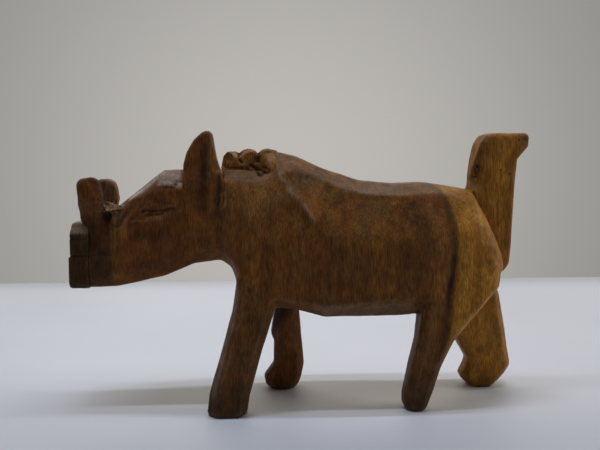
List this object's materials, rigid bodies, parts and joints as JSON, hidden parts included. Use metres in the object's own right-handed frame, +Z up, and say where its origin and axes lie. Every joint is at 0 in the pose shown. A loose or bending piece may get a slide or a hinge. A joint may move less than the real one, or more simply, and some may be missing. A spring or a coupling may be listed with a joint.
{
  "type": "wooden warthog figurine",
  "caption": "Small hand-carved wooden warthog, walking, with a flat snout plate, upright tusks and ears, a notched mane and a raised flag-like tail.",
  "frame": {"origin": "on the ground, under the middle of the figure's bounding box", "axes": "+X from the snout to the tail, along the figure's length; +Y towards the animal's right side; +Z up"},
  "size_m": [0.129, 0.031, 0.0775],
  "materials": {
    "heartwood": "satin, hand-rubbed",
    "sapwood": "satin, hand-rubbed"
  },
  "bodies": {
    "root": {"carved_block": "heartwood", "snout_plate": "heartwood", "left_tusk": "heartwood", "right_tusk": "heartwood", "left_ear": "heartwood", "right_ear": "heartwood", "mane_crest": "heartwood", "tail": "sapwood"}
  },
  "joints": []
}
